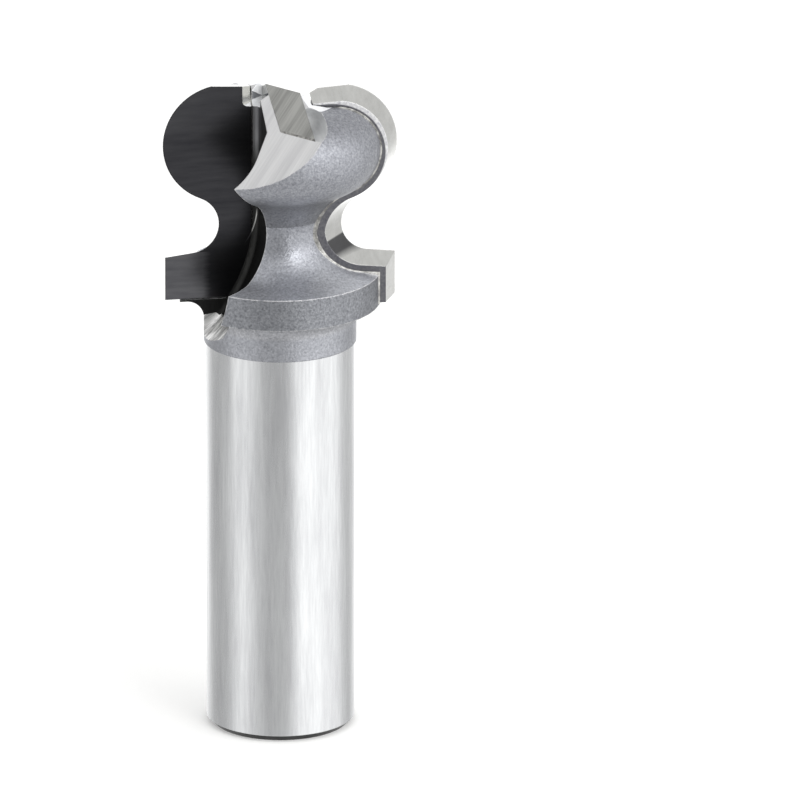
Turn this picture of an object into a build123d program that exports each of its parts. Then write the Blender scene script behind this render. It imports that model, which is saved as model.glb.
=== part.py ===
from build123d import *
import os
from math import atan2, cos, degrees, radians, sin, sqrt, tan

# Finger-grip router bit, standing on the end of its shank.
# Z is the turning axis, and the cutting end is up. The two profile tips lie along +X and -X.
# Seen from the cutting end the bit turns counter-clockwise, so each rake face looks that way.
# All lengths are in millimetres and all angles in degrees.

os.makedirs("parts", exist_ok=True)

# ---- Shank, collar and flange ----
shank_diameter = 12.0
shank_length = 32.6
shank_chamfer = 0.5
collar_diameter = 12.36
collar_length = 3.3
collar_fillet = 1.4
flange_thickness = 2.6

# ---- Cutting profile, as radius from the axis and rise above the flange ----
bead_centre_radius = 4.5
bead_centre_rise = 10.75
bead_radius = 5.0
cove_centre_radius = 7.35
cove_radius = 2.4
ledge_slope = 6.9
ledge_radius = 9.33
end_flat_start = 77.5
end_dish = 3.3

# ---- Profile tips ----
tip_thickness = 2.2
tip_inner_edge = 2.2
tip_bottom_rise = 0.25
rake_offset = 0.7
tip_relief = 0.65

# ---- Steel body around the tips ----
body_inset = 1.2
crown_radius = 2.0
crown_drop = 0.35
braze_inset = 1.12
braze_gap = 0.12
braze_recess = 0.25

# ---- Gullets ----
gullet_floor = 1.6
gullet_reach = 6.34
gullet_wheel_radius = 13.5
gullet_run_out_rise = 4.7
gullet_corner_radius = 0.5
gullet_bevel_length = 3.1
gullet_bevel_width = 2.0
gullet_front_radius = 3.0

# ---- Ground end and centre tip ----
point_rise = 0.05
point_slope = 39.0
point_turn = 40.0
centre_tip_turn = 4.0
centre_tip_front = 1.26
centre_tip_back = 0.9
centre_tip_depth = 2.35
notch_depth = 2.0
notch_overlap = 0.05
notch_outer_edge = 2.95
notch_length = 1.6
notch_corner_radius = 0.4
scoop_radius = 1.15
scoop_start = 4.5
scoop_drop = 0.1

# ---- Working values: each height follows from the lengths below it ----
half_turn = 180.0
quarter_turn = 90.0
flange_bottom = shank_length + collar_length
flange_top = flange_bottom + flange_thickness
tip_bottom = flange_bottom + tip_bottom_rise
gullet_run_out_height = flange_top + gullet_run_out_rise
bead_centre_height = flange_top + bead_centre_rise
seat_edge = tip_inner_edge - braze_gap
seat_bottom = tip_bottom - braze_gap
bead_to_cove = cove_centre_radius - bead_centre_radius
cove_drop = sqrt((bead_radius + cove_radius) ** 2 - bead_to_cove**2)
cove_centre_height = bead_centre_height - cove_drop
bead_end_angle = -degrees(atan2(cove_drop, bead_to_cove))
cove_start_angle = half_turn + bead_end_angle
cove_end_angle = half_turn + quarter_turn - ledge_slope
part_top = bead_centre_height + bead_radius
crown_height = part_top - crown_drop
point_height = crown_height + point_rise
centre_tip_bottom = point_height - centre_tip_depth
centre_tip_reach = bead_centre_radius + bead_radius
scoop_bottom = centre_tip_bottom - scoop_drop
notch_inner_edge = centre_tip_back - notch_overlap
# Cutters that run right through the steel reach this far past it.
beyond = 3 * ledge_radius


def bead_point(angle, inset):
    """Point of the bead's arc, moved in from the cutting profile by the inset."""
    radius = bead_radius - inset
    return (
        bead_centre_radius + radius * cos(radians(angle)),
        bead_centre_height + radius * sin(radians(angle)),
    )


def cove_point(angle, inset):
    """Point of the cove's arc, whose radius grows as the profile is moved in."""
    radius = cove_radius + inset
    return (
        cove_centre_radius + radius * cos(radians(angle)),
        cove_centre_height + radius * sin(radians(angle)),
    )


def ledge_end(inset):
    """Outer corner of the sloping ledge under the cove."""
    start_radius, start_height = cove_point(cove_end_angle, inset)
    radius = ledge_radius - inset
    return (radius, start_height - (radius - start_radius) * tan(radians(ledge_slope)))


def end_flat_height(radius, inset):
    """Height of the dished end at a radius inside the bead's arc."""
    flat_radius, flat_height = bead_point(end_flat_start, inset)
    return flat_height - (flat_radius - radius) * tan(radians(end_dish))


def on_plane(point, depth):
    """A radius and height, where that circle meets a plane this far from the axis."""
    radius, height = point
    return (sqrt(radius**2 - depth**2), height)


def tip_outline(depth, inset, inner_edge, bottom):
    """Closed outline of a profile tip on a plane parallel to its rake face."""
    end_corner = on_plane(bead_point(end_flat_start, inset), depth)
    bead_side = on_plane(bead_point(0, inset), depth)
    bead_end = on_plane(bead_point(bead_end_angle, inset), depth)
    neck = on_plane(cove_point(half_turn, inset), depth)
    cove_end = on_plane(cove_point(cove_end_angle, inset), depth)
    ledge_corner = on_plane(ledge_end(inset), depth)
    upper_middle = on_plane(bead_point(end_flat_start / 2, inset), depth)
    lower_middle = on_plane(bead_point(bead_end_angle / 2, inset), depth)
    cove_top_angle = (cove_start_angle + half_turn) / 2
    cove_bottom_angle = (half_turn + cove_end_angle) / 2
    inner_top = (inner_edge, end_flat_height(sqrt(inner_edge**2 + depth**2), inset))
    inner_bottom = (inner_edge, bottom)
    outer_bottom = (ledge_corner[0], bottom)
    Line(inner_top, end_corner)
    ThreePointArc(end_corner, upper_middle, bead_side)
    ThreePointArc(bead_side, lower_middle, bead_end)
    ThreePointArc(bead_end, on_plane(cove_point(cove_top_angle, inset), depth), neck)
    ThreePointArc(neck, on_plane(cove_point(cove_bottom_angle, inset), depth), cove_end)
    Polyline(cove_end, ledge_corner, outer_bottom, inner_bottom, inner_top)


# ---- Gullet: the space that a wide side-milling wheel leaves in front of the left tip ----
wheel_centre = (-(gullet_floor + gullet_wheel_radius), gullet_run_out_height)
wheel_drop_angle = -60.0
wheel_exit = (
    wheel_centre[0] + gullet_wheel_radius * cos(radians(wheel_drop_angle)),
    wheel_centre[1] + gullet_wheel_radius * sin(radians(wheel_drop_angle)),
)
with BuildPart() as gullet:
    with BuildSketch(Plane.XZ.offset(-rake_offset)):
        with BuildLine():
            CenterArc(wheel_centre, gullet_wheel_radius, wheel_drop_angle, -wheel_drop_angle)
            Polyline(
                (-gullet_floor, gullet_run_out_height),
                (-gullet_floor, part_top + beyond),
                (wheel_exit[0] - beyond, part_top + beyond),
                (wheel_exit[0] - beyond, wheel_exit[1]),
                wheel_exit,
            )
        make_face()
    extrude(amount=rake_offset + gullet_reach)
    rake_side = gullet.edges().group_by(Axis.Y)[-1].group_by(Axis.X)[-1]
    fillet(rake_side, gullet_corner_radius)
    front_side = gullet.edges().group_by(Axis.Y)[0].group_by(Axis.X)[-1]
    floor_face = gullet.faces().filter_by(Axis.X).sort_by(Axis.X)[-1]
    chamfer(front_side, length=gullet_bevel_length, length2=gullet_bevel_width, reference=floor_face)
    front_side = gullet.edges().group_by(Axis.Y)[0].group_by(Axis.X)[-1]
    fillet(front_side, gullet_front_radius)

# ---- Ground end: the sloping facet that sharpens the front half of the centre tip ----
crest = (-sin(radians(point_turn)), cos(radians(point_turn)))
crest_left = tip_inner_edge
crest_reach = crest_left / sin(radians(point_turn))
with BuildPart() as end_facet:
    with BuildSketch(Plane.XY.offset(flange_bottom)):
        with BuildLine():
            Polyline(
                (-crest_left, rake_offset),
                (-beyond, rake_offset),
                (-beyond, -beyond),
                (-crest[0] * beyond, -crest[1] * beyond),
                (crest[0] * crest_reach, crest[1] * crest_reach),
                (-crest_left, rake_offset),
            )
        make_face()
    extrude(amount=beyond)
    end_facet_plane = Plane(
        origin=(0, 0, point_height),
        x_dir=(crest[0], crest[1], 0),
        z_dir=(
            -sin(radians(point_slope)) * cos(radians(point_turn)),
            -sin(radians(point_slope)) * sin(radians(point_turn)),
            cos(radians(point_slope)),
        ),
    )
    split(bisect_by=end_facet_plane, keep=Keep.TOP)

# ---- Gash: the notch and the scoop that open the rake face of the centre tip's front half ----
# In this turned frame X points out of the rake face, and -Y runs out along the cutting edge.
centre_frame = Plane(
    origin=(0, 0, 0),
    x_dir=(cos(radians(centre_tip_turn)), sin(radians(centre_tip_turn)), 0),
    z_dir=(0, 0, 1),
)
with BuildPart() as gash:
    with BuildSketch(Plane.XY.offset(part_top - notch_depth)):
        with BuildLine():
            Polyline(
                (notch_inner_edge, 0),
                (notch_outer_edge, 0),
                (notch_outer_edge, -rake_offset),
                (notch_inner_edge, -rake_offset - notch_length),
                (notch_inner_edge, 0),
            )
        make_face()
    extrude(amount=beyond)
    fillet(gash.faces().sort_by(Axis.Z)[0].edges(), notch_corner_radius)

scoop_frame = Plane(
    origin=centre_frame.from_local_coords(
        (centre_tip_front, -scoop_start, scoop_bottom + scoop_radius)
    ),
    x_dir=centre_frame.x_dir,
    z_dir=-centre_frame.y_dir,
)
with BuildPart(scoop_frame) as scoop:
    Sphere(scoop_radius)
    Cylinder(scoop_radius, beyond, align=(Align.CENTER, Align.CENTER, Align.MIN))


def both_sides(solid):
    """The solid and its copy half a turn round the axis."""
    return [solid, solid.rotate(Axis.Z, half_turn)]


# ---- Profile tips: pressed carbide, ground to the cutting profile with relief behind the edge ----
with BuildPart() as tip_blank:
    with BuildSketch(Plane.XZ.offset(rake_offset)):
        with BuildLine():
            tip_outline(rake_offset, 0, tip_inner_edge, tip_bottom)
        make_face()
    with BuildSketch(Plane.XZ.offset(rake_offset + tip_thickness)):
        with BuildLine():
            tip_outline(rake_offset + tip_thickness, tip_relief, tip_inner_edge, tip_bottom)
        make_face()
    loft(ruled=True)
    add(gash.part, mode=Mode.SUBTRACT)

# ---- Braze: the thin layer behind, beside and under each profile tip ----
with BuildPart() as braze_blank:
    with BuildSketch(Plane.XZ.offset(rake_offset + braze_recess)):
        with BuildLine():
            tip_outline(rake_offset + tip_thickness, braze_inset, seat_edge, seat_bottom)
        make_face()
    extrude(amount=tip_thickness - braze_recess + braze_gap)
    with BuildSketch(Plane.XZ.offset(0)):
        with Locations((tip_inner_edge, tip_bottom)):
            Rectangle(beyond, beyond, align=(Align.MIN, Align.MIN))
    extrude(amount=rake_offset + tip_thickness, mode=Mode.SUBTRACT)
    add(gash.part, mode=Mode.SUBTRACT)

# ---- Seats: the step milled behind each profile tip and the slot across the end ----
with BuildPart() as tip_seat:
    with BuildSketch(Plane.XZ.offset(rake_offset)):
        with Locations((seat_edge, seat_bottom)):
            Rectangle(beyond, beyond, align=(Align.MIN, Align.MIN))
    extrude(amount=tip_thickness + braze_gap)

with BuildPart() as centre_seat:
    with BuildSketch(centre_frame.offset(centre_tip_bottom - braze_gap)):
        with Locations(((centre_tip_front - centre_tip_back) / 2, 0)):
            Rectangle(centre_tip_front + centre_tip_back, beyond)
    extrude(amount=beyond)

# ---- Cutter body: one bar of steel, turned, then milled for the gullets, seats and end ----
with BuildPart() as cutter_body:
    with BuildSketch(Plane.XZ):
        with BuildLine():
            shank_radius = shank_diameter / 2
            collar_radius = collar_diameter / 2
            fillet_start = (collar_radius, flange_bottom - collar_fillet)
            fillet_end = (collar_radius + collar_fillet, flange_bottom)
            flange_radius = ledge_radius - body_inset
            crown_edge = bead_point(quarter_turn, body_inset)
            Polyline(
                (crown_radius, crown_height),
                (0, crown_height),
                (0, 0),
                (shank_radius - shank_chamfer, 0),
                (shank_radius, shank_chamfer),
                (shank_radius, shank_length),
                (collar_radius, shank_length),
                fillet_start,
            )
            RadiusArc(fillet_start, fillet_end, collar_fillet)
            Polyline(
                fillet_end,
                (flange_radius, flange_bottom),
                (flange_radius, flange_top),
                cove_point(cove_end_angle, body_inset),
            )
            CenterArc(
                (cove_centre_radius, cove_centre_height),
                cove_radius + body_inset,
                cove_start_angle,
                cove_end_angle - cove_start_angle,
            )
            CenterArc(
                (bead_centre_radius, bead_centre_height),
                bead_radius - body_inset,
                bead_end_angle,
                quarter_turn - bead_end_angle,
            )
            Line(crown_edge, (crown_radius, crown_height))
        make_face()
    revolve(axis=Axis.Z)
    for cutter in (gullet, tip_seat, end_facet, gash, scoop):
        add(both_sides(cutter.part), mode=Mode.SUBTRACT)
    add(centre_seat.part, mode=Mode.SUBTRACT)
cutter_body.part.label = "cutter_body"
export_step(cutter_body.part, "parts/cutter_body.step")

# ---- Centre tip: the carbide across the end that cuts when the bit is plunged ----
with BuildPart() as centre_braze:
    with BuildSketch(centre_frame.offset(centre_tip_bottom - braze_gap)):
        with Locations(((centre_tip_front - centre_tip_back) / 2, 0)):
            Rectangle(centre_tip_front + centre_tip_back, 2 * centre_tip_reach)
    extrude(amount=braze_gap)
    for cutter in (gullet, tip_seat, end_facet):
        add(both_sides(cutter.part), mode=Mode.SUBTRACT)
centre_braze.part.label = "centre_tip_braze"
export_step(centre_braze.part, "parts/centre_tip_braze.step")

with BuildPart() as centre_tip:
    with BuildSketch(centre_frame.offset(centre_tip_bottom)):
        with Locations(((centre_tip_front - centre_tip_back) / 2, 0)):
            Rectangle(centre_tip_front + centre_tip_back, 2 * centre_tip_reach)
    extrude(amount=part_top - centre_tip_bottom)
    for cutter in (gullet, tip_seat, end_facet):
        add(both_sides(cutter.part), mode=Mode.SUBTRACT)
centre_tip.part.label = "centre_tip"
export_step(centre_tip.part, "parts/centre_tip.step")

# ---- The two profile tips and their braze, half a turn apart ----
for side, turn in (("right", 0), ("left", half_turn)):
    with BuildPart() as profile_tip:
        add(tip_blank.part.rotate(Axis.Z, turn))
    profile_tip.part.label = "profile_tip_" + side
    export_step(profile_tip.part, "parts/profile_tip_" + side + ".step")

    with BuildPart() as tip_braze:
        add(braze_blank.part.rotate(Axis.Z, turn))
    tip_braze.part.label = "tip_braze_" + side
    export_step(tip_braze.part, "parts/tip_braze_" + side + ".step")
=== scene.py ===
# %% [markdown]
# # A router bit for finger grips
# The bit stands on the end of its shank, with the cutting end up.
# It is one turned and milled bar of steel, with a carbide tip brazed to each of its two wings.
# A third carbide tip lies across the end.
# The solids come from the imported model.
# This script gives each of their surfaces the finish that its last tool left on it.

from math import atan2, cos, pi, radians, sin, sqrt

import bmesh
import bpy
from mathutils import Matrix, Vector


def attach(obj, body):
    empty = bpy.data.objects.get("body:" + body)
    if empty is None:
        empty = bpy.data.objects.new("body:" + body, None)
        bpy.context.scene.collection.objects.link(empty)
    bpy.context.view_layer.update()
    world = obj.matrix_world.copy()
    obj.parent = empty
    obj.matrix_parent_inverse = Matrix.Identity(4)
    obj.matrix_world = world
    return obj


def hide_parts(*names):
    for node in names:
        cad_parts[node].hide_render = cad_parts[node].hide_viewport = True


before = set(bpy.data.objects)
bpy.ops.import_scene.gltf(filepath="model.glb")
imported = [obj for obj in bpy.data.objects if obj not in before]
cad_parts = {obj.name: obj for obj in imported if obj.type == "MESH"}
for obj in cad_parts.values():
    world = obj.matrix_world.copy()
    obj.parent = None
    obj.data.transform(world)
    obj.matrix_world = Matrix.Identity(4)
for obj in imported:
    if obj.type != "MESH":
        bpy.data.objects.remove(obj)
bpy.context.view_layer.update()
print("nodes:", sorted(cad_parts))

# %% [markdown]
# ## Sizes that several finishes follow
# A finish often stops at a line that the machining left, such as the end of the ground shank.
# The lines could be painted by hand, but they would then have to be painted again after each
# change of a size. So they are numbers here, in metres, taken from the sizes of the solids.
# A size that only one finish needs is given where that finish is made.

# %% Shared sizes
MM = 0.001
SHANK_RADIUS = 6.0 * MM
SHANK_TOP = 32.6 * MM
RAKE_OFFSET = 0.7 * MM
POINT_SLOPE = radians(39.0)
POINT_TURN = radians(40.0)
# SOFT is the width over which a crisp line fades.
SOFT = 0.06 * MM
# A point within NEAR of a surface counts as on it.
NEAR = 0.02 * MM
print("shank in mm:", round(2 * SHANK_RADIUS / MM, 1), "across,", round(SHANK_TOP / MM, 1), "long")

# %% [markdown]
# ## The camera
# The camera looks down at the bit by 19 degrees, from 10 degrees left of its front.
# An orthographic camera would keep the shank's sides parallel.
# A long lens from far away does nearly the same, and keeps the slight perspective of a real one.

# %% Camera
VIEW_AZIMUTH = radians(-10.0)
VIEW_ELEVATION = radians(19.0)
VIEW_DISTANCE = 2.6
VIEW_WIDTH = 64.78 * MM
VIEW_TARGET = Vector((9.553, -1.684, 27.28)) * MM
SENSOR_WIDTH = 36.0

towards_camera = Vector(
    (
        sin(VIEW_AZIMUTH) * cos(VIEW_ELEVATION),
        -cos(VIEW_AZIMUTH) * cos(VIEW_ELEVATION),
        sin(VIEW_ELEVATION),
    )
)
camera_data = bpy.data.cameras.new("camera")
camera_data.sensor_width = SENSOR_WIDTH
camera_data.lens = SENSOR_WIDTH * VIEW_DISTANCE / VIEW_WIDTH
camera = bpy.data.objects.new("camera", camera_data)
camera.location = VIEW_TARGET + towards_camera * VIEW_DISTANCE
camera.rotation_euler = towards_camera.to_track_quat("Z", "Y").to_euler()
bpy.context.collection.objects.link(camera)
bpy.context.scene.camera = camera
bpy.context.scene.view_settings.view_transform = "Standard"
print("lens in mm:", round(camera_data.lens, 1))

# %% [markdown]
# ## Small helpers for shader nodes
# A shader can be drawn in the Shader Editor. Written down, it can be used again with other numbers.
# Most masks here need only two kinds of node. Math does a sum.
# Map Range turns one span of a value into another, such as a span of heights into 0 to 1.

# %% Node helpers
def link(tree, source, target):
    """Joins two sockets of a node tree."""
    tree.links.new(source, target)


def fill(tree, socket, value):
    """Sets a socket to a plain number, or joins it to another node's output."""
    if isinstance(value, (int, float)):
        socket.default_value = value
    else:
        link(tree, value, socket)


def math_node(tree, operation, *values):
    """A Math node with its inputs filled, and its output."""
    node = tree.nodes.new("ShaderNodeMath")
    node.operation = operation
    for socket, value in zip(node.inputs, values):
        fill(tree, socket, value)
    return node.outputs[0]


def spread(tree, value, low, high, out_low=0.0, out_high=1.0):
    """A Map Range node from one span to another, and its output."""
    node = tree.nodes.new("ShaderNodeMapRange")
    labels = ("From Min", "From Max", "To Min", "To Max")
    for label, number in zip(labels, (low, high, out_low, out_high)):
        node.inputs[label].default_value = number
    link(tree, value, node.inputs["Value"])
    return node.outputs[0]


def emptied_tree(owner):
    """The node tree of a material or a world, switched on and emptied."""
    owner.use_nodes = True
    owner.node_tree.nodes.clear()
    return owner.node_tree


helpers = (link, fill, math_node, spread, emptied_tree)
print("node helpers:", [helper.__name__ for helper in helpers])

# %% [markdown]
# ## The studio
# Bare metal has hardly any colour of its own, so what it reflects is most of its look.
# Walls and soft boxes could stand round the bit as lit planes. Here one colour ramp round the
# compass holds them all, which is quicker to tune and puts no extra objects in the scene.
# A wide soft box stands at the right of the camera, and a weaker one at its left.
# The wall behind the camera is dull, so a rake face that looks that way stays black.
# The wall behind the bit is bright, and gives the shank its light edges.

# %% Walls
# Angles go round to the right of the camera. Each wall is (angle, brightness).
WALLS = (
    (-180, 1.5),
    (-152, 1.5),
    (-140, 1.0),
    (-128, 0.66),
    (-88, 0.66),
    (-76, 1.3),
    (-46, 1.3),
    (-34, 0.72),
    (0, 0.64),
    (16, 0.64),
    (23, 1.62),
    (104, 1.46),
    (112, 0.8),
    (136, 0.75),
    (146, 0.9),
    (158, 1.5),
)
# The ceiling and the table blend in over a span of how steeply a ray goes up or down.
CEILING = 0.8
CEILING_SPAN = (0.38, 0.6)
TABLE = 0.9
TABLE_SPAN = (-0.42, -0.6)
# A ramp's colours stay between 0 and 1, so they are stored as shares of this brightness.
BRIGHTEST = 2.0
print("walls round the studio:", len(WALLS))

# %% [markdown]
# ## The walls on a colour ramp
# A ray's direction gives its place on the compass, from 0 to 1, and the ramp turns that into a
# brightness. An image of a studio could do it too, but its file would have to travel with the script.

# %% World
world = bpy.data.worlds.new("studio")
bpy.context.scene.world = world
tree = emptied_tree(world)
split = tree.nodes.new("ShaderNodeSeparateXYZ")
link(tree, tree.nodes.new("ShaderNodeTexCoord").outputs["Generated"], split.inputs[0])
east, north, up = split.outputs
camera_heading = atan2(towards_camera.y, towards_camera.x)
turned = math_node(tree, "SUBTRACT", math_node(tree, "ARCTAN2", north, east), camera_heading)
turns = math_node(tree, "DIVIDE", turned, 2 * pi)
around = math_node(tree, "FRACT", math_node(tree, "ADD", turns, 0.5))

ramp = tree.nodes.new("ShaderNodeValToRGB")
link(tree, around, ramp.inputs[0])
stops = ramp.color_ramp.elements
while len(stops) > 1:
    stops.remove(stops[-1])
for index, (angle, brightness) in enumerate(WALLS):
    place = angle / 360.0 + 0.5
    stop = stops[0] if index == 0 else stops.new(place)
    stop.position = place
    level = brightness / BRIGHTEST
    stop.color = (level, level, level, 1)

room = math_node(tree, "MULTIPLY", ramp.outputs[0], BRIGHTEST)
for span, brightness in ((CEILING_SPAN, CEILING), (TABLE_SPAN, TABLE)):
    blend = tree.nodes.new("ShaderNodeMix")
    link(tree, spread(tree, up, *span), blend.inputs["Factor"])
    link(tree, room, blend.inputs["A"])
    blend.inputs["B"].default_value = brightness
    room = blend.outputs[0]
print("camera's heading in degrees:", round(camera_heading * 180 / pi, 1))

# %% [markdown]
# ## A white background
# The bit should stand against white, but a white room would wash its reflections out.
# Light Path tells the two apart: the camera's own rays see white, and all other rays see the room.

# %% Background
background = tree.nodes.new("ShaderNodeBackground")
link(tree, room, background.inputs["Color"])
white = tree.nodes.new("ShaderNodeBackground")
white.inputs["Color"].default_value = (1, 1, 1, 1)
choice = tree.nodes.new("ShaderNodeMixShader")
link(tree, tree.nodes.new("ShaderNodeLightPath").outputs["Is Camera Ray"], choice.inputs[0])
link(tree, background.outputs[0], choice.inputs[1])
link(tree, white.outputs[0], choice.inputs[2])
link(tree, choice.outputs[0], tree.nodes.new("ShaderNodeOutputWorld").inputs[0])
print("nodes in the studio:", len(tree.nodes))

# %% [markdown]
# ## The floor
# The floor is plain and pale, and keeps only the soft shadow at the foot of the shank.
# A white plane would need far more light to look white, and that light would bleach the bit.
# So the plane's paint glows a little by itself.
# Reflections don't see it. They see the pale table that the world holds below the walls.

# %% Floor
FLOOR_HALF = 3.0
FLOOR_COLOUR = (0.86, 0.86, 0.85, 1)
FLOOR_GLOW = 0.28

floor_mesh = bpy.data.meshes.new("floor")
corners = [(x * FLOOR_HALF, y * FLOOR_HALF, 0) for x, y in ((-1, -1), (1, -1), (1, 1), (-1, 1))]
floor_mesh.from_pydata(corners, [], [(0, 1, 2, 3)])
floor = bpy.data.objects.new("floor", floor_mesh)
bpy.context.collection.objects.link(floor)
floor.visible_glossy = False
floor_material = bpy.data.materials.new("pale_floor")
tree = emptied_tree(floor_material)
paint = tree.nodes.new("ShaderNodeBsdfDiffuse")
paint.inputs["Color"].default_value = FLOOR_COLOUR
glow = tree.nodes.new("ShaderNodeEmission")
glow.inputs["Strength"].default_value = FLOOR_GLOW
both = tree.nodes.new("ShaderNodeAddShader")
link(tree, paint.outputs[0], both.inputs[0])
link(tree, glow.outputs[0], both.inputs[1])
link(tree, both.outputs[0], tree.nodes.new("ShaderNodeOutputMaterial").inputs["Surface"])
floor_mesh.materials.append(floor_material)
print("floor in metres:", 2 * FLOOR_HALF, "square")

# %% [markdown]
# ## Lamps
# The walls light the bit evenly, but blasted steel also shows a soft highlight with bright grains.
# Two square area lamps make it, both up at the right of the camera.
# The key lamp is large and gives the broad highlight. The sparkle lamp is small, so the dents that
# face it catch it as points. One lamp of a middle size would give neither.

# %% Lamps
LAMP_AIM = Vector((0, 0, 45 * MM))
LAMP_DISTANCE = 0.6
LAMP_ELEVATION = radians(31)


def soft_lamp(name, angle, size, power):
    """A square area lamp that looks at the bit's head, placed by its angle from the camera."""
    heading = camera_heading + radians(angle)
    way = Vector(
        (
            cos(heading) * cos(LAMP_ELEVATION),
            sin(heading) * cos(LAMP_ELEVATION),
            sin(LAMP_ELEVATION),
        )
    )
    data = bpy.data.lights.new(name, "AREA")
    data.shape = "SQUARE"
    data.size = size
    data.energy = power
    lamp = bpy.data.objects.new(name, data)
    lamp.location = LAMP_AIM + way * LAMP_DISTANCE
    lamp.rotation_euler = way.to_track_quat("Z", "Y").to_euler()
    bpy.context.collection.objects.link(lamp)
    print(name, "at", [round(x, 2) for x in lamp.location], "watts:", power)


soft_lamp("key_lamp", angle=54, size=0.6, power=0.95)
soft_lamp("sparkle_lamp", angle=36, size=0.2, power=0.32)

# %% [markdown]
# ## Plain copies of the solids
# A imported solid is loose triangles, which can't be shaded smoothly across their edges.
# Its own mesh is never changed, so each node gets a copy whose triangles are joined.
# The copy then takes several materials, one for each tool that cut it.
# A modifier could join and smooth too, but the faces have to be sorted on a finished mesh.

# %% Copy a node
WELD = 0.001 * MM
SHARP_FROM = radians(25.0)


def joined_copy(node, name):
    """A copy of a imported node, with its loose triangles joined and no materials."""
    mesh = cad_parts[node].data.copy()
    mesh.name = name
    work = bmesh.new()
    work.from_mesh(mesh)
    bmesh.ops.remove_doubles(work, verts=work.verts, dist=WELD)
    work.to_mesh(mesh)
    work.free()
    if "custom_normal" in mesh.attributes:
        mesh.attributes.remove(mesh.attributes["custom_normal"])
    piece = bpy.data.objects.new(name, mesh)
    bpy.context.collection.objects.link(piece)
    mesh.materials.clear()
    return piece


def smooth_between_edges(mesh):
    """Shades smoothly, but keeps each edge that is sharper than SHARP_FROM."""
    mesh.shade_smooth()
    mesh.set_sharp_from_angle(angle=SHARP_FROM)


print("edges stay sharp from", round(SHARP_FROM * 180 / pi), "degrees")

# %% [markdown]
# ## Shader groups
# Every finish here is bare metal with a fine texture that some tool left.
# The same few textures serve many metals, so each is a node group with named inputs.
# A group gives only numbers and normals. The shader itself stays in each material.

# %% Group helpers
FLOAT = "NodeSocketFloat"
VECTOR = "NodeSocketVector"


def new_group(name, inputs, outputs):
    """An empty shader group. Inputs are (label, kind, value) and outputs are (label, kind)."""
    group = bpy.data.node_groups.new(name, "ShaderNodeTree")
    for label, kind, value in inputs:
        socket = group.interface.new_socket(label, in_out="INPUT", socket_type=kind)
        socket.default_value = value
    for label, kind in outputs:
        group.interface.new_socket(label, in_out="OUTPUT", socket_type=kind)
    return group, group.nodes.new("NodeGroupInput"), group.nodes.new("NodeGroupOutput")


def own_place(tree):
    """Where a point is on the piece itself, so that a pattern never slides on it."""
    return tree.nodes.new("ShaderNodeTexCoord").outputs["Object"]


def noise(tree, vector, scale, detail=2.0, roughness=0.5):
    """A Noise Texture that reads a vector, and its value from 0 to 1."""
    node = tree.nodes.new("ShaderNodeTexNoise")
    node.inputs["Detail"].default_value = detail
    node.inputs["Roughness"].default_value = roughness
    link(tree, vector, node.inputs["Vector"])
    fill(tree, node.inputs["Scale"], scale)
    return node.outputs["Fac"]


def weighted(tree, first, share, second):
    """Two values added by shares that make one whole."""
    rest = math_node(tree, "MULTIPLY", second, 1 - share)
    return math_node(tree, "MULTIPLY_ADD", first, share, rest)


print("group helpers:", [helper.__name__ for helper in (new_group, own_place, noise, weighted)])

# %% [markdown]
# ## Scratches
# A grinding wheel leaves long scratches that all run one way, some fine and some broad.
# An image could show them, but it would need an unwrapped surface and would blur up close.
# Noise that is squeezed along one axis gives them at any scale.
# Turn sets their direction, and a small number in Stretch is the axis that they run along.

# %% Scratches
BROAD_SCALE = 0.17
BROAD_SHARE = 0.6

scratches, entry, leave = new_group(
    "scratches",
    (("Turn", VECTOR, (0, 0, 0)), ("Stretch", VECTOR, (1, 1, 1)), ("Spacing", FLOAT, 1000.0)),
    (("Height", FLOAT), ("Tone", FLOAT)),
)
turn = scratches.nodes.new("ShaderNodeMapping")
link(scratches, own_place(scratches), turn.inputs["Vector"])
link(scratches, entry.outputs["Turn"], turn.inputs["Rotation"])
stretch = scratches.nodes.new("ShaderNodeVectorMath")
stretch.operation = "MULTIPLY"
link(scratches, turn.outputs[0], stretch.inputs[0])
link(scratches, entry.outputs["Stretch"], stretch.inputs[1])
fine = noise(scratches, stretch.outputs[0], entry.outputs["Spacing"], detail=3.0, roughness=0.6)
broad_spacing = math_node(scratches, "MULTIPLY", entry.outputs["Spacing"], BROAD_SCALE)
broad = noise(scratches, stretch.outputs[0], broad_spacing)
link(scratches, fine, leave.inputs["Height"])
link(scratches, weighted(scratches, broad, BROAD_SHARE, fine), leave.inputs["Tone"])
print("nodes for scratches:", len(scratches.nodes))

# %% [markdown]
# ## Blasted grains
# Grit thrown at steel leaves round dents, with no direction at all.
# A Voronoi texture would draw them too evenly, like scales. Two layers of plain noise look loose.

# %% Grains
SPOT_SCALE = 0.7
SPOT_SHARE = 0.5

grains, entry, leave = new_group(
    "blasted_grains",
    (("Grain", FLOAT, 9000.0),),
    (("Height", FLOAT), ("Tone", FLOAT)),
)
place = own_place(grains)
fine = noise(grains, place, entry.outputs["Grain"], roughness=0.6)
spot_grain = math_node(grains, "MULTIPLY", entry.outputs["Grain"], SPOT_SCALE)
spots = noise(grains, place, spot_grain, roughness=0.6)
link(grains, fine, leave.inputs["Height"])
link(grains, weighted(grains, spots, SPOT_SHARE, fine), leave.inputs["Tone"])
print("nodes for grains:", len(grains.nodes))

# %% [markdown]
# ## Worn edges and their painted highlight
# Handling and blasting round off the sharp edges a little, and polish them.
# Real bevels on every edge would add thousands of faces.
# The Bevel node only turns the normal over across each edge. Where that normal parts from the
# true one there is an edge, so the same node also gives a mask of the edges. The metals paint
# that mask near-white, partly for the polish and partly as a painted highlight on the edges.

# %% Worn edges and their painted highlight
# How far the two normals agree where the painted edge highlight starts, and where it is full.
WEAR_HIGHLIGHT_SPAN = (0.993, 0.94)
PATCH_SPAN = (0.3, 0.55)

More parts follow.
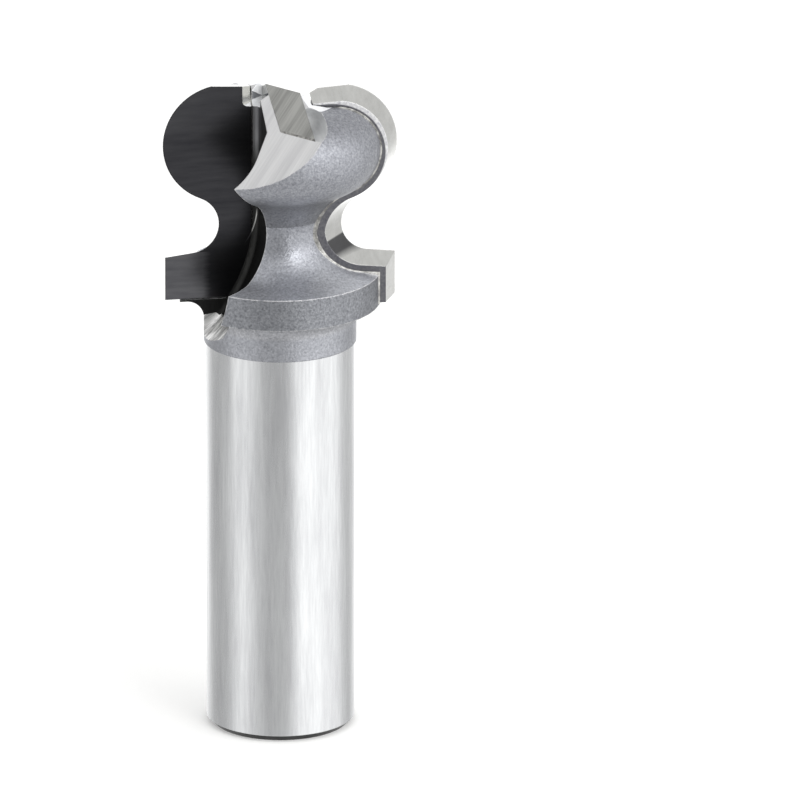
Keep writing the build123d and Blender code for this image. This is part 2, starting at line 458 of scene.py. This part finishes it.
worn_edges_highlight, entry, leave = new_group(
    "worn_edges_highlight",
    (("Radius", FLOAT, 0.1 * MM), ("Break-up", FLOAT, 3000.0)),
    (("Normal", VECTOR), ("Wear_and_highlight", FLOAT)),
)
rounded = worn_edges_highlight.nodes.new("ShaderNodeBevel")
link(worn_edges_highlight, entry.outputs["Radius"], rounded.inputs["Radius"])
true_normal = worn_edges_highlight.nodes.new("ShaderNodeNewGeometry").outputs["Normal"]
agreement = worn_edges_highlight.nodes.new("ShaderNodeVectorMath")
agreement.operation = "DOT_PRODUCT"
link(worn_edges_highlight, rounded.outputs[0], agreement.inputs[0])
link(worn_edges_highlight, true_normal, agreement.inputs[1])
across_edge = spread(worn_edges_highlight, agreement.outputs["Value"], *WEAR_HIGHLIGHT_SPAN)
patchy = noise(worn_edges_highlight, own_place(worn_edges_highlight), entry.outputs["Break-up"], detail=3.0)
wear_and_highlight = math_node(worn_edges_highlight, "MULTIPLY", across_edge, spread(worn_edges_highlight, patchy, *PATCH_SPAN))
link(worn_edges_highlight, rounded.outputs[0], leave.inputs["Normal"])
link(worn_edges_highlight, wear_and_highlight, leave.inputs["Wear_and_highlight"])
print("nodes for worn edges:", len(worn_edges_highlight.nodes))

# %% [markdown]
# ## Colours and placed groups
# A metal needs two more steps again and again: mixing two colours, and placing a shader group
# with its own values. Mix by name would pick the sockets for numbers, so they are taken by place.

# %% Colour helpers
# A Mix node keeps its sockets for colours behind those for numbers and vectors.
FIRST_COLOUR, SECOND_COLOUR, MIXED_COLOUR = 6, 7, 2


def grey(level):
    """A neutral colour."""
    return (level, level, level)


def mix_colours(tree, share, first, second, blend="MIX"):
    """A Mix node for two colours, each three numbers or an output, and its output."""
    node = tree.nodes.new("ShaderNodeMix")
    node.data_type = "RGBA"
    node.blend_type = blend
    link(tree, share, node.inputs["Factor"])
    for index, colour in ((FIRST_COLOUR, first), (SECOND_COLOUR, second)):
        if isinstance(colour, tuple):
            node.inputs[index].default_value = (*colour, 1)
        else:
            link(tree, colour, node.inputs[index])
    return node.outputs[MIXED_COLOUR]


def placed_group(tree, group, inputs):
    """A shader group placed in a material, with its own values."""
    node = tree.nodes.new("ShaderNodeGroup")
    node.node_tree = group
    for label, value in inputs.items():
        node.inputs[label].default_value = value
    return node


print("colour helpers:", [helper.__name__ for helper in (grey, mix_colours, placed_group)])

# %% [markdown]
# ## One way to write a bare metal
# All the metals share one build: a dark and a light colour that the texture mixes, a span of
# roughness, and a bump. Each could be built by hand, but then a change would be made a dozen times.
# With one function, only the numbers and the texture differ.

# %% Metal helper
EDGE_BREAK = 0.12 * MM
# The near-white of the edges: partly polish, partly a painted highlight.
WORN_EDGE_HIGHLIGHT = grey(0.93)


def bare_metal(
    name,
    dark,
    light,
    rough,
    bump,
    texture,
    inputs,
    contrast=(0.3, 0.7),
    anisotropic=0.0,
    metallic=1.0,
    wear_and_highlight=0.0,
):
    """A metal whose colour, roughness and bump follow a texture group.

    rough is the roughness at the texture's dark and light end, and bump is (strength, depth).
    """
    material = bpy.data.materials.new(name)
    tree = emptied_tree(material)
    shader = tree.nodes.new("ShaderNodeBsdfPrincipled")
    shader.inputs["Metallic"].default_value = metallic
    shader.inputs["Anisotropic"].default_value = anisotropic
    pattern = placed_group(tree, texture, inputs)
    edges = placed_group(tree, worn_edges_highlight, {"Radius": EDGE_BREAK})
    tone = spread(tree, pattern.outputs["Tone"], *contrast)
    worn_and_highlight = math_node(tree, "MULTIPLY", edges.outputs["Wear_and_highlight"], wear_and_highlight)
    colour = mix_colours(tree, worn_and_highlight, mix_colours(tree, tone, dark, light), WORN_EDGE_HIGHLIGHT)
    roughness = spread(tree, pattern.outputs["Tone"], 0.0, 1.0, *rough)
    relief = tree.nodes.new("ShaderNodeBump")
    relief.inputs["Strength"].default_value = bump[0]
    relief.inputs["Distance"].default_value = bump[1]
    link(tree, pattern.outputs["Height"], relief.inputs["Height"])
    link(tree, edges.outputs["Normal"], relief.inputs["Normal"])
    link(tree, colour, shader.inputs["Base Color"])
    link(tree, roughness, shader.inputs["Roughness"])
    link(tree, relief.outputs[0], shader.inputs["Normal"])
    link(tree, shader.outputs[0], tree.nodes.new("ShaderNodeOutputMaterial").inputs["Surface"])
    print("metal:", name)
    return material


print("sharp edges look rounded by, in mm:", round(EDGE_BREAK / MM, 2))

# %% [markdown]
# ## Marks that follow the shape
# Some marks keep to one place, such as the ring that the lathe left on the neck.
# They could be pieces of their own, but they have no thickness.
# So a mark is a mask: a small function of the piece's own X, Y and Z that gives 0 to 1.
# A mask tints the metal's colour, or scales its roughness.

# %% Mask helpers
def own_axes(tree):
    """The piece's own X, Y and Z, as three outputs."""
    axes = tree.nodes.new("ShaderNodeSeparateXYZ")
    link(tree, own_place(tree), axes.inputs[0])
    return axes.outputs


def product(tree, first, *others):
    """Masks multiplied together."""
    for other in others:
        first = math_node(tree, "MULTIPLY", first, other)
    return first


def slanted(tree, across, up):
    """The length of a slanted line, from how far it goes across and up."""
    squares = [math_node(tree, "POWER", side, 2.0) for side in (across, up)]
    return math_node(tree, "SQRT", math_node(tree, "ADD", *squares))


def height_fade(empty, full):
    """A mask that is 0 at one height and 1 at another."""
    return lambda tree, x, y, z: spread(tree, z, empty, full)


def multiply_tone(material, mask, colour):
    """Tints a metal by a colour where a mask says so."""
    tree = material.node_tree
    socket = tree.nodes["Principled BSDF"].inputs["Base Color"]
    before = socket.links[0].from_socket
    share = mask(tree, *own_axes(tree))
    link(tree, mix_colours(tree, share, before, colour, blend="MULTIPLY"), socket)


def smoother(material, mask, share):
    """Scales a metal's roughness down to a share of itself where a mask says so."""
    tree = material.node_tree
    socket = tree.nodes["Principled BSDF"].inputs["Roughness"]
    before = socket.links[0].from_socket
    scale = spread(tree, mask(tree, *own_axes(tree)), 0.0, 1.0, 1.0, share)
    link(tree, math_node(tree, "MULTIPLY", before, scale), socket)


print("ways to use a mask:", [helper.__name__ for helper in (multiply_tone, smoother)])

# %% [markdown]
# ## Blasted steel
# The turned head is blasted with grit, which leaves a grey skin of fine dents.
# Dents could be modelled by displacement, but they are only hundredths of a millimetre deep.
# A bump shows them as well, and keeps the solid's few faces. The edges stand out brighter,
# partly from polish and partly from a painted highlight.

# %% Blasted steel
blasted = bare_metal(
    "grit_blasted_steel",
    dark=(0.17, 0.175, 0.195),
    light=(0.4, 0.41, 0.44),
    rough=(0.44, 0.32),
    bump=(0.95, 0.028 * MM),
    texture=grains,
    inputs={"Grain": 6500.0},
    metallic=0.68,
    wear_and_highlight=1.0,
)

# %% [markdown]
# ## The bead's painted shadow on the neck, and the polished throat
# The bead's shadow on the neck is painted into the colour: the steel is darker above a crisp
# line round the neck, and the painted shade fades upwards. Below that line, down to the ledge,
# the throat is smoother.
# Both could be split off as faces of their own, but a fade needs a mask.

# %% Marks of the neck
SHADOW_EDGE_HEIGHT = 43.3 * MM
SHADOW_FADE_TOP = 45.6 * MM
LEDGE_LOW = 39.8 * MM
LEDGE_HIGH = 41.2 * MM


def bead_shadow_on_neck(tree, x, y, z):
    """A mask of the bead's painted shadow on the neck, which starts crisply and fades upwards."""
    return product(
        tree,
        spread(tree, z, SHADOW_EDGE_HEIGHT - 0.5 * SOFT, SHADOW_EDGE_HEIGHT),
        spread(tree, z, SHADOW_FADE_TOP, SHADOW_EDGE_HEIGHT + SOFT),
    )


def throat(tree, x, y, z):
    """A mask of the neck between the ledge and the edge of the painted shadow."""
    return product(
        tree,
        spread(tree, z, SHADOW_EDGE_HEIGHT + SOFT, SHADOW_EDGE_HEIGHT),
        spread(tree, z, LEDGE_LOW, LEDGE_HIGH),
    )


# Painted shadow of the bead on the neck.
multiply_tone(blasted, bead_shadow_on_neck, grey(0.62))
smoother(blasted, throat, 0.6)
# The ledge faces up and is painted lighter: painted light from above.
multiply_tone(blasted, height_fade(LEDGE_HIGH, LEDGE_LOW), grey(1.5))
print("ring on the neck in mm:", round(SHADOW_EDGE_HEIGHT / MM, 2))

# %% [markdown]
# ## Flange and collar
# The flange's rim and the collar under it are blasted too. The rim is a little darker than the
# head, and the collar is a little lighter, with a slightly shaded foot.
# One material with more masks could hold all three. Three are easier to read and to change.

# %% Flange and collar
COLLAR_SHADE = 34.3 * MM

blasted_rim = bare_metal(
    "blasted_flange",
    dark=(0.14, 0.145, 0.16),
    light=(0.36, 0.37, 0.39),
    rough=(0.55, 0.4),
    bump=(0.9, 0.03 * MM),
    texture=grains,
    inputs={"Grain": 6000.0},
    wear_and_highlight=1.0,
)
blasted_collar = bare_metal(
    "blasted_collar",
    dark=(0.26, 0.265, 0.28),
    light=(0.53, 0.535, 0.56),
    rough=(0.5, 0.36),
    bump=(0.9, 0.025 * MM),
    texture=grains,
    inputs={"Grain": 6500.0},
)
multiply_tone(blasted_collar, height_fade(COLLAR_SHADE + 5 * SOFT, COLLAR_SHADE), (0.92, 0.93, 0.95))

# %% [markdown]
# ## The ground shank
# The shank is ground round and true, and shows tall soft bands of the room.
# Grinding marks run round the shank, so its reflections spread along it.
# Modelled grooves would be far too fine. Anisotropic with a tangent round the axis spreads the
# reflections instead, and long faint streaks in the colour break them up.

# %% Ground shank
shank_steel = bare_metal(
    "ground_shank",
    dark=(0.5, 0.505, 0.515),
    light=(0.7, 0.71, 0.715),
    rough=(0.3, 0.24),
    bump=(0.12, 0.004 * MM),
    texture=scratches,
    inputs={"Stretch": (1, 1, 0.08), "Spacing": 5500.0},
    anisotropic=0.6,
)
tree = shank_steel.node_tree
around_axis = tree.nodes.new("ShaderNodeTangent")
around_axis.direction_type = "RADIAL"
around_axis.axis = "Z"
link(tree, around_axis.outputs[0], tree.nodes["Principled BSDF"].inputs["Tangent"])

# %% [markdown]
# ## The milled gullet
# The gullet is the deep flute that lets the chips out. Its colour is painted nearly black, as a
# painted dark reflection.
# A glossy black paint would mirror the room too clearly, so this is a dark and rather rough metal.
# Its lower part is darker still, with painted shade deep in the flute.

# %% Milled gullet
GULLET_LIGHT = 49.5 * MM
GULLET_DARK = 47.5 * MM

milled_painted_dark = bare_metal(
    "milled_gullet_painted_dark",
    # Near-black: a painted dark reflection.
    dark=(0.045, 0.045, 0.045),
    light=(0.12, 0.12, 0.115),
    rough=(0.55, 0.42),
    bump=(0.15, 0.006 * MM),
    texture=scratches,
    inputs={"Stretch": (1, 1, 0.08), "Spacing": 3500.0},
)
# Painted shade, darker towards the bottom of the flute.
multiply_tone(milled_painted_dark, height_fade(GULLET_LIGHT, GULLET_DARK), grey(0.35))

# %% [markdown]
# ## Painted light and the wheel's mark in the gullet
# The upper inner corner has a brighter stripe, which is painted light. The wheel left a thin arc
# beside the cove, which also runs on over the rake face. An arc could be a thin bent wire laid on
# the steel, but it is a scratch with no height.
# The mask asks how far a point is from the arc's centre.

# %% Painted light and the wheel's mark
CORNER_EDGE = 2.3 * MM
CORNER_FULL = 1.9 * MM
CORNER_BACK = 0.6 * MM
CORNER_FRONT = -0.5 * MM
CORNER_LOW = 46.5 * MM
CORNER_HIGH = 50.0 * MM
MARK_CENTRE = 6.79 * MM
MARK_RADIUS = 5.0 * MM
MARK_TOP = 43.6 * MM
MARK_BOTTOM = 40.6 * MM


def painted_corner_light(tree, x, y, z):
    """A mask of the painted light in the gullet's upper inner corner, on both sides of the bit."""
    near_axis = spread(tree, math_node(tree, "ABSOLUTE", x), CORNER_EDGE, CORNER_FULL)
    to_rake_side = math_node(tree, "MULTIPLY", math_node(tree, "SIGN", x), y)
    beside_rake = spread(tree, to_rake_side, CORNER_BACK, CORNER_FRONT)
    return product(tree, near_axis, beside_rake, spread(tree, z, CORNER_LOW, CORNER_HIGH))


def wheel_mark(tree, x, y, z):
    """A mask of a thin arc, which fades out at both of its ends."""
    side = math_node(tree, "SUBTRACT", math_node(tree, "ABSOLUTE", x), MARK_CENTRE)
    height = math_node(tree, "SUBTRACT", z, MARK_TOP)
    from_arc = math_node(tree, "SUBTRACT", slanted(tree, side, height), MARK_RADIUS)
    line = spread(tree, math_node(tree, "ABSOLUTE", from_arc), SOFT, 0.3 * SOFT)
    ends = product(
        tree,
        spread(tree, z, MARK_TOP, MARK_TOP - 10 * SOFT),
        spread(tree, z, MARK_BOTTOM, MARK_BOTTOM + 20 * SOFT),
    )
    return product(tree, line, ends, spread(tree, side, 0.0, -SOFT))


# Painted light in the upper inner corner.
multiply_tone(milled_painted_dark, painted_corner_light, (2.6, 2.6, 2.75))
multiply_tone(milled_painted_dark, wheel_mark, grey(14.0))
print("arc's radius in mm:", round(MARK_RADIUS / MM, 2))

# %% [markdown]
# ## The ground end
# A wheel ground the sloping end last, across steel and carbide alike, and its streaks run straight
# uphill. The two halves slope opposite ways, and a turned pattern has one turn only.
# So each half has its own material, with the streaks turned to its own slope.
# The steel is hardly metallic here, because a flat mirror would flash white from some sides.

# %% Ground ends
def uphill(side):
    """The way straight up one half of the sloping end."""
    flat = side * cos(POINT_SLOPE)
    return Vector((flat * cos(POINT_TURN), flat * sin(POINT_TURN), sin(POINT_SLOPE)))


ground_ends = {}
carbide_ends = {}
for side, label in ((1, "front"), (-1, "back")):
    streak = uphill(side)
    streak_turn = (
        atan2(streak.y, streak.z),
        atan2(sqrt(streak.y**2 + streak.z**2), streak.x),
        0,
    )
    streaks = {"Turn": streak_turn, "Stretch": (0.04, 1, 1), "Spacing": 5200.0}
    ground_ends[side] = bare_metal(
        "ground_end_" + label,
        dark=(0.5, 0.5, 0.51),
        light=(0.76, 0.76, 0.76),
        rough=(0.5, 0.38),
        bump=(0.2, 0.006 * MM),
        texture=scratches,
        inputs=streaks,
        contrast=(0.28, 0.72),
        metallic=0.25,
    )
    carbide_ends[side] = bare_metal(
        "ground_carbide_end_" + label,
        dark=(0.24, 0.24, 0.23),
        light=(0.48, 0.48, 0.46),
        rough=(0.4, 0.28),
        bump=(0.25, 0.008 * MM),
        texture=scratches,
        inputs=streaks,
        contrast=(0.38, 0.62),
    )

# %% [markdown]
# ## The lapped rake face
# The flat face of each profile tip is lapped until it shines, and that makes the edge keen.
# Its colour is painted nearly black, a painted dark reflection of the dull wall that it looks at.
# Its outer ledge is painted lighter and streaked, a painted reflection, and the wheel's arc runs
# on over the face.
# A second flat piece for the ledge would show a seam. A mask with a noisy border doesn't.

# %% Rake face
LEDGE_TOP = 40.1 * MM
LEDGE_START = 6.4 * MM
LEDGE_FULL = 7.0 * MM
LEDGE_WOBBLE = 1.6 * MM

rake_polish = bare_metal(
    "lapped_rake_face",
    # The near-black is a painted dark reflection.
    dark=(0.03, 0.03, 0.034),
    light=(0.06, 0.06, 0.064),
    rough=(0.34, 0.26),
    bump=(0.03, 0.003 * MM),
    texture=scratches,
    inputs={"Stretch": (0.15, 1, 1), "Spacing": 2500.0},
)


def ledge_reflection(tree, x, y, z):
    """A mask of the ledge's painted reflection, which fades towards the middle along its streaks."""
    height_only = tree.nodes.new("ShaderNodeCombineXYZ")
    link(tree, z, height_only.inputs["Z"])
    border = noise(tree, height_only.outputs[0], 2500.0, detail=3.0)
    out = math_node(tree, "MULTIPLY_ADD", border, LEDGE_WOBBLE, math_node(tree, "ABSOLUTE", x))
    return product(
        tree,
        spread(tree, out, LEDGE_START, LEDGE_FULL),
        spread(tree, z, LEDGE_TOP, LEDGE_TOP - SOFT),
    )


# Painted reflection on the outer ledge.
multiply_tone(rake_polish, ledge_reflection, (2.3, 2.3, 2.25))
multiply_tone(rake_polish, wheel_mark, grey(6.0))

# %% [markdown]
# ## The ground relief
# The rim of each tip is ground back behind the edge, to a bright and even finish.
# At the foot of the cove it has a much darker band, a painted dark reflection.
# Faces could be cut along that band, but a mask between two heights needs no new edges.

# %% Relief
REFLECTION_BAND_LOW = 40.05 * MM
REFLECTION_BAND_HIGH = 41.6 * MM

relief_ground = bare_metal(
    "ground_relief",
    dark=(0.56, 0.56, 0.54),
    light=(0.72, 0.72, 0.7),
    rough=(0.13, 0.08),
    bump=(0.15, 0.006 * MM),
    texture=scratches,
    inputs={"Stretch": (1, 0.1, 1), "Spacing": 2500.0},
)


def relief_dark_reflection(tree, x, y, z):
    """A mask of the painted dark reflection on the relief."""
    return product(
        tree,
        spread(tree, z, REFLECTION_BAND_LOW, REFLECTION_BAND_LOW + 8 * SOFT),
        spread(tree, z, REFLECTION_BAND_HIGH + SOFT, REFLECTION_BAND_HIGH - SOFT),
    )


# Painted dark reflection on the relief.
multiply_tone(relief_ground, relief_dark_reflection, (0.16, 0.16, 0.17))

# %% [markdown]
# ## The pressed back of the tips
# A tip is pressed from powder and sintered, and its back keeps that dull dark skin.
# Round the bead a light land is ground outside the steel, and it narrows downwards.
# The land could be a thin face of its own, but its inner border is an arc round the bead's
# centre, so a mask can ask how far a point is from there. The bead is turned, and the back of a
# tip stands off the axis, so the mask measures straight out from the axis and not along X.

# %% Pressed carbide
BEAD_CENTRE = 4.5 * MM
BEAD_HEIGHT = 49.25 * MM
LAND_TOP = 51.0 * MM
LAND_BOTTOM = 45.5 * MM
LAND_END = 45.0 * MM
LAND_WIDE = 4.03 * MM
LAND_NARROW = 4.4 * MM

pressed_back = bare_metal(
    "pressed_carbide",
    dark=(0.1, 0.1, 0.115),
    light=(0.19, 0.19, 0.2),
    rough=(0.6, 0.45),
    bump=(0.3, 0.02 * MM),
    texture=grains,
    inputs={"Grain": 6000.0},
)


def clearance_land(tree, x, y, z):
    """A mask of the ground land round the bead, which narrows downwards."""
    side = math_node(tree, "SUBTRACT", slanted(tree, x, y), BEAD_CENTRE)
    height = math_node(tree, "SUBTRACT", z, BEAD_HEIGHT)
    start = spread(tree, z, LAND_TOP, LAND_BOTTOM, LAND_WIDE, LAND_NARROW)
    past = math_node(tree, "SUBTRACT", slanted(tree, side, height), start)
    return product(
        tree,
        spread(tree, past, -0.5 * SOFT, 0.5 * SOFT),
        spread(tree, z, LAND_END, LAND_BOTTOM),
    )


multiply_tone(pressed_back, clearance_land, (4.6, 4.6, 4.3))

# %% [markdown]
# ## Scoop and notch
# A small round wheel scooped out the steel behind the centre tip, and a thin wheel cut the notch
# beside it. Both cuts are light all over. Full metal would show one dark or white reflection in
# cuts as small as these, so they are hardly metallic, and the scoop's own pale colour shows.
# The notch is painted near-white, as painted light for the bright glare seen inside it.

# %% Scoop and notch
scooped = bare_metal(
    "wheel_scooped_steel",
    dark=(0.5, 0.51, 0.52),
    light=(0.68, 0.69, 0.7),
    rough=(0.5, 0.4),
    bump=(0.2, 0.006 * MM),
    texture=scratches,
    inputs={"Stretch": (1, 0.15, 1), "Spacing": 4000.0},
    metallic=0.3,
)
# Near-white: painted light for the glare inside the notch.
gash_painted_light = bare_metal(
    "gash_painted_light",
    dark=(0.9, 0.91, 0.93),
    light=(0.97, 0.98, 1.0),
    rough=(0.45, 0.35),
    bump=(0.2, 0.006 * MM),
    texture=scratches,
    inputs={"Stretch": (1, 0.15, 1), "Spacing": 2500.0},
    metallic=0.1,
)

# %% [markdown]
# ## Braze
# Silver braze is a solder that melts at red heat and holds a tip for good. It shows as a thin
# uneven line of bright and dull patches round each tip.
# Its unevenness could be modelled, but the line is only a fraction of a millimetre wide.
# Coarse grains with a strong contrast give the patches. Above the ledge it is duller.

# %% Braze
BRAZE_PLAIN = 40.8 * MM
BRAZE_DARK = 41.6 * MM

braze_metal = bare_metal(
    "flowed_braze",
    dark=(0.3, 0.295, 0.285),
    light=(0.8, 0.79, 0.75),
    rough=(0.4, 0.22),
    bump=(0.4, 0.03 * MM),
    texture=grains,
    inputs={"Grain": 2200.0},
    contrast=(0.42, 0.6),
)
multiply_tone(braze_metal, height_fade(BRAZE_PLAIN, BRAZE_DARK), grey(0.6))

# %% [markdown]
# ## The brushed run-out
# Where the milling wheel ran out of the collar it left a small patch with coarse slanted strokes.
# It is the scratches group again, turned by 35 degrees and with its dark and light far apart.

# %% Brushed run-out
brushed = bare_metal(
    "brushed_run_out",
    dark=(0.3, 0.3, 0.3),
    light=(0.86, 0.86, 0.85),
    rough=(0.45, 0.35),
    bump=(0.4, 0.02 * MM),
    texture=scratches,
    inputs={"Turn": (0, radians(35), 0), "Stretch": (0.05, 1, 1), "Spacing": 15000.0},
    contrast=(0.42, 0.58),
)
print("metals in all:", len([metal for metal in bpy.data.materials if metal != floor_material]))

# %% [markdown]
# ## Which tool cut which face
# Faces could be picked by hand in Edit Mode, but the picks would be lost when a solid changes.
# A few short tests on a face's centre and normal name its tool instead.
# All but the centre tip and its slot is the same after half a turn, so several tests turn a face
# to the left half first.

# %% The sloping end
POINT = Vector((0, 0, 53.95 * MM))
END_NORMAL = Vector(
    (
        -sin(POINT_SLOPE) * cos(POINT_TURN),
        -sin(POINT_SLOPE) * sin(POINT_TURN),
        cos(POINT_SLOPE),
    )
)
# Two directions agree this well when they count as the same.
SAME_WAY = 0.999


def left_half(point, normal):
    """The point and normal, turned half a turn where the point lies in the right half."""
    if point.x <= 0:
        return point, normal
    return Vector((-point.x, -point.y, point.z)), Vector((-normal.x, -normal.y, normal.z))


def end_plane_side(point, normal):
    """Which of the two sloping end planes a face lies on: 1, -1 or 0 for neither."""
    for side in (1, -1):
        turned_normal = Vector((side * normal.x, side * normal.y, normal.z))
        turned_point = Vector((side * point.x, side * point.y, point.z))
        off_plane = abs((turned_point - POINT).dot(END_NORMAL))
        if turned_normal.dot(END_NORMAL) > SAME_WAY and off_plane < NEAR:
            return side
    return 0


print("end plane faces", [round(x, 3) for x in END_NORMAL])

# %% [markdown]
# ## The milling wheel's sweep
# A wheel sank into each side of the bar and ran out in a curve above the shank.
# The test works out how deep a point lies inside that sweep, whose front corner is cut back.
# Faces that the lathe turned are kept apart by their normals, which never point sideways.

# %% Gullet and lathe
GULLET_FLOOR = 1.6 * MM
GULLET_REACH = 6.34 * MM
GULLET_BEVEL_LENGTH = 3.1 * MM
GULLET_BEVEL_WIDTH = 2.0 * MM
GULLET_WHEEL_RADIUS = 13.5 * MM
GULLET_RUN_OUT = 43.2 * MM
SIDEWAYS = 0.2


def in_gullet(point):
    """Whether a point of the left half lies in the sweep of the milling wheel."""
    if point.z < SHANK_TOP:
        return False
    if point.z >= GULLET_RUN_OUT:
        depth = -GULLET_FLOOR - point.x
    else:
        axis_x = -(GULLET_FLOOR + GULLET_WHEEL_RADIUS)
        from_axis = sqrt((point.x - axis_x) ** 2 + (point.z - GULLET_RUN_OUT) ** 2)
        depth = GULLET_WHEEL_RADIUS - from_axis
    across = point.y + GULLET_REACH
    if depth < -NEAR or across < -NEAR or point.y > RAKE_OFFSET + NEAR:
        return False
    inside = depth / GULLET_BEVEL_WIDTH + across / GULLET_BEVEL_LENGTH
    return inside > 1 - NEAR / GULLET_BEVEL_WIDTH


def turned_on_lathe(point, normal):
    """Whether a face was turned: its normal then lies nearly in the plane of the axis."""
    return abs(point.x * normal.y - point.y * normal.x) < SIDEWAYS * point.xy.length


print("wheel's radius in mm:", round(GULLET_WHEEL_RADIUS / MM, 2))

# %% [markdown]
# ## Notch and scoop
# The scoop runs along the centre tip, which is turned a little, so a point is first measured
# along and across the tip. The notch isn't turned, but it is small, and the same measure finds
# most of it. Both cuts come twice, half a turn apart, so each test looks from both sides.

# %% Notch and scoop
GASH_TURN = radians(4.0)
NOTCH_BOTTOM = 52.25 * MM
NOTCH_INNER = 0.85 * MM
NOTCH_OUTER = 2.95 * MM
NOTCH_LENGTH = 1.6 * MM
SCOOP_RADIUS = 1.15 * MM
SCOOP_AXIS = 1.26 * MM
SCOOP_START = 4.5 * MM
SCOOP_HEIGHT = 52.65 * MM


def beside_centre_tip(point):
    """How far across and out a point lies from the middle of the end, as seen from each side."""
    across = point.x * cos(GASH_TURN) + point.y * sin(GASH_TURN)
    out = point.x * sin(GASH_TURN) - point.y * cos(GASH_TURN)
    return (across, out), (-across, -out)


def in_gash(point):
    """Whether a point lies in the notch beside the centre tip, on either side."""
    for across, out in beside_centre_tip(point):
        share = (NOTCH_OUTER - across) / (NOTCH_OUTER - NOTCH_INNER)
        in_width = NOTCH_INNER - NEAR < across < NOTCH_OUTER + NEAR
        in_length = -NEAR < out < RAKE_OFFSET + NOTCH_LENGTH * share + NEAR
        if in_width and in_length and point.z > NOTCH_BOTTOM - NEAR:
            return True
    return False


def in_scoop(point):
    """Whether a point lies in the round-ended scoop behind the centre tip, on either side."""
    for across, out in beside_centre_tip(point):
        past = min(out - SCOOP_START, 0)
        from_axis = sqrt((across - SCOOP_AXIS) ** 2 + (point.z - SCOOP_HEIGHT) ** 2 + past**2)
        if from_axis < SCOOP_RADIUS + NEAR:
            return True
    return False


print("centre tip is turned by", round(GASH_TURN * 180 / pi), "degrees")

# %% [markdown]
# ## The finish of a steel face
# The tests are asked in order, from the surest to the loosest, and the first one that fits wins.
# What none of them claims was only blasted. The small chamfer at the foot takes the near-black
# milled metal, as a painted reflection of the shadowed floor at the foot.

# %% Finishes of the steel body
SHANK_CHAMFER = 0.5 * MM
BRUSHED_TOP = 34.7 * MM
FLANGE_BOTTOM = 35.9 * MM
FLANGE_TOP = 38.5 * MM
FLANGE_END = -5.6 * MM
CROWN_EDGE = 53.04 * MM
# The Z of a normal past which a face is level, and under which it is upright.
LEVEL = 0.9
UPRIGHT = 0.1
# The X of a normal past which a face looks out of the left gullet.
LOOKS_OUT = -0.6


def body_finish(point, normal):
    """The finish of a face of the steel body."""
    # The chamfer at the foot: painted reflection of the shadowed floor.
    if point.z < SHANK_CHAMFER and UPRIGHT < abs(normal.z) < LEVEL:
        return milled_painted_dark
    if point.z < SHANK_TOP + NEAR and point.xy.length < SHANK_RADIUS + NEAR:
        return shank_steel
    side = end_plane_side(point, normal)
    if side:
        return ground_ends[side]
    if in_gash(point):
        return gash_painted_light
    if in_scoop(point):
        return scooped
    turned_point, turned_normal = left_half(point, normal)
    on_rim = FLANGE_BOTTOM + NEAR < point.z < FLANGE_TOP - NEAR
    if on_rim and turned_point.y < FLANGE_END:
        return blasted_rim
    level = point.z < FLANGE_TOP + NEAR and abs(normal.z) > LEVEL
    gullet_floor = in_gullet(turned_point) and turned_normal.x < LOOKS_OUT
    if gullet_floor or not (level or turned_on_lathe(point, normal)):
        return brushed if point.z < BRUSHED_TOP else milled_painted_dark
    # The crown's level tops take the same near-white painted light.
    if point.z > CROWN_EDGE and normal.z > LEVEL:
        return gash_painted_light
    if point.z < FLANGE_BOTTOM + NEAR:
        return blasted_collar
    if point.z < FLANGE_TOP + NEAR:
        return blasted_rim
    return blasted


print("flange in mm:", round(FLANGE_BOTTOM / MM, 2), "to", round(FLANGE_TOP / MM, 2))

# %% [markdown]
# ## The finish of a tip or a layer of braze
# A tip has only a front, a back and a rim, so two planes settle it.
# The notch cuts into the tips too, and the centre tip shares the steel's sloping ends.
# Braze cooled by itself after it melted, and no tool touched it, so it is the same all over.

# %% Finishes of the tips
TIP_THICKNESS = 2.2 * MM
# The Y of a normal past which a face looks straight to the front or the back.
SQUARE_ON = 0.99


def tip_finish(point, normal):
    """The finish of a face of a profile tip."""
    depth = left_half(point, normal)[0].y - RAKE_OFFSET
    square_on = abs(normal.y) > SQUARE_ON
    if abs(depth) < NEAR and square_on:
        return rake_polish
    if in_gash(point):
        return gash_painted_light
    if abs(depth - TIP_THICKNESS) < NEAR and square_on:
        return pressed_back
    return relief_ground


def end_tip_finish(point, normal):
    """The finish of a face of the centre tip."""
    side = end_plane_side(point, normal)
    return carbide_ends[side] if side else relief_ground


def braze_finish(point, normal):
    """The finish of every face of a layer of braze."""
    return braze_metal


print("profile tips in mm:", round(TIP_THICKNESS / MM, 2), "thick")

# %% [markdown]
# ## Dress the pieces
# Each piece is a copy of its solid, with a material on each face. It rides on the root body,
# and the solid is hidden, so the copy stands for it.

# %% Dress a node
def finished_copy(node, name, choose):
    """A copy of a node with a finish on each face, which then stands for the node."""
    piece = joined_copy(node, name)
    mesh = piece.data
    used = []
    for face in mesh.polygons:
        material = choose(face.center.copy(), face.normal.copy())
        if material not in used:
            used.append(material)
            mesh.materials.append(material)
        face.material_index = used.index(material)
    smooth_between_edges(mesh)
    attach(piece, "root")
    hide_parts(node)
    print(name, "faces:", len(mesh.polygons), "finishes:", [metal.name for metal in used])


finished_copy("cutter_body", "steel_body", body_finish)

# %% [markdown]
# ## The tips and their braze
# The two profile tips are the same shape, half a turn apart. They stay pieces of their own and
# aren't one mesh, because a worn tip is melted off and replaced by itself.

# %% Tips and braze
for side in ("right", "left"):
    finished_copy("profile_tip_" + side, "carbide_tip_" + side, tip_finish)
    finished_copy("tip_braze_" + side, "braze_layer_" + side, braze_finish)
finished_copy("centre_tip", "carbide_tip_centre", end_tip_finish)
finished_copy("centre_tip_braze", "braze_layer_centre", braze_finish)
